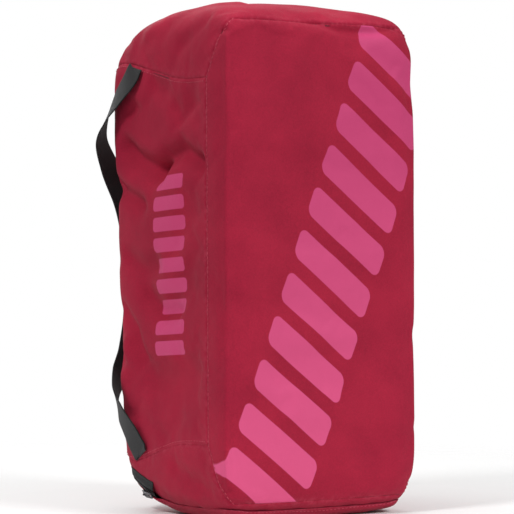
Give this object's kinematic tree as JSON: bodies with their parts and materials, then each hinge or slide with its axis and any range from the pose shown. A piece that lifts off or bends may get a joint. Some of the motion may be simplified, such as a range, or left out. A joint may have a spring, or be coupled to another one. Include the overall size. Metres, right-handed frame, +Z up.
{
  "type": "hockey equipment bag",
  "caption": "Soft duffel for ice-hockey kit, standing on one end: stiffened base, zipped lid, end pocket, webbing handles and strap rings.",
  "frame": {"origin": "on the floor under the middle of the whole box, with the bag standing on its lower end", "axes": "+Z up along the bag's length, the base panel faces -Y, the lid faces +Y, the front side faces -X"},
  "size_m": [0.3672, 0.3276, 0.7],
  "materials": {
    "crimson_polyester": "coated plain-weave polyester, matte",
    "black_webbing": "woven polypropylene webbing",
    "black_zip_tape": "knitted polyester tape",
    "nylon_coil": "nylon monofilament",
    "black_nickel": "black nickel on zinc",
    "polyethylene_board": "extruded sheet"
  },
  "bodies": {
    "bag": {"base_panel": "crimson_polyester", "front_panel": "crimson_polyester", "back_panel": "crimson_polyester", "upper_end_panel": "crimson_polyester", "lower_end_panel": "crimson_polyester", "top_panel": "crimson_polyester", "pocket_panel": "crimson_polyester", "top_zip_tape": "black_zip_tape", "lid_zip_coil": "nylon_coil", "end_zip_tape": "black_zip_tape", "pocket_zip_tape": "black_zip_tape", "pocket_zip_coil": "nylon_coil", "lid_stop_front": "black_nickel", "lid_stop_back": "black_nickel", "pocket_stop_front": "black_nickel", "pocket_stop_back": "black_nickel", "d_ring_tab_upper": "black_webbing", "d_ring_tab_lower": "black_webbing", "base_board": "polyethylene_board", "end_binding_upper": "black_zip_tape", "end_binding_lower": "black_zip_tape", "base_binding_front": "black_zip_tape", "base_binding_back": "black_zip_tape"},
    "lid": {"lid_panel": "crimson_polyester", "lid_zip_tape": "black_zip_tape"},
    "lid_slider": {"lid_slider": "black_nickel"},
    "lid_pull": {"lid_pull": "black_nickel"},
    "pocket_slider": {"pocket_slider": "black_nickel"},
    "pocket_pull": {"pocket_pull": "black_nickel"},
    "handle_front": {"handle_front": "black_webbing"},
    "handle_back": {"handle_back": "black_webbing"},
    "d_ring_upper": {"d_ring_upper": "black_nickel"},
    "d_ring_lower": {"d_ring_lower": "black_nickel"}
  },
  "joints": [
    {"name": "lid_hinge", "type": "hinge", "parent": "bag", "child": "lid", "pos_m": [0.0884, 0.12386, 0.16729], "axis": [0, -0.0565, -0.9984], "range_deg": [0, 90]},
    {"name": "lid_zip_slide", "type": "slide", "parent": "bag", "child": "lid_slider", "axis": [-0.0001, 0.0571, 0.9984], "range_m": [0, 0.3]},
    {"name": "lid_pull_hinge", "type": "hinge", "parent": "lid_slider", "child": "lid_pull", "pos_m": [-0.08893, 0.13182, 0.19672], "axis": [1, 0.0013, 0], "range_deg": [0, 160]},
    {"name": "pocket_zip_slide", "type": "slide", "parent": "bag", "child": "pocket_slider", "axis": [0.1413, 0.985, 0.0991], "range_m": [0, 0.028]},
    {"name": "pocket_pull_hinge", "type": "hinge", "parent": "pocket_slider", "child": "pocket_pull", "pos_m": [-0.15665, 0.04931, 0.02439], "axis": [0.5741, 0, -0.8188], "range_deg": [0, 160]},
    {"name": "handle_front_hinge", "type": "hinge", "parent": "bag", "child": "handle_front", "pos_m": [-0.1616, 0.03428, 0.09381], "axis": [0.0012, 0.0312, 0.9995], "range_deg": [0, 110]},
    {"name": "handle_back_hinge", "type": "hinge", "parent": "bag", "child": "handle_back", "pos_m": [0.1616, 0.03428, 0.09381], "axis": [-0.0012, -0.0312, -0.9995], "range_deg": [0, 110]},
    {"name": "d_ring_upper_hinge", "type": "hinge", "parent": "bag", "child": "d_ring_upper", "pos_m": [0, 0.15121, 0.60632], "axis": [1, 0, 0], "range_deg": [0, 150]},
    {"name": "d_ring_lower_hinge", "type": "hinge", "parent": "bag", "child": "d_ring_lower", "pos_m": [0, 0.12211, 0.08767], "axis": [1, 0, 0], "range_deg": [0, 150]}
  ]
}
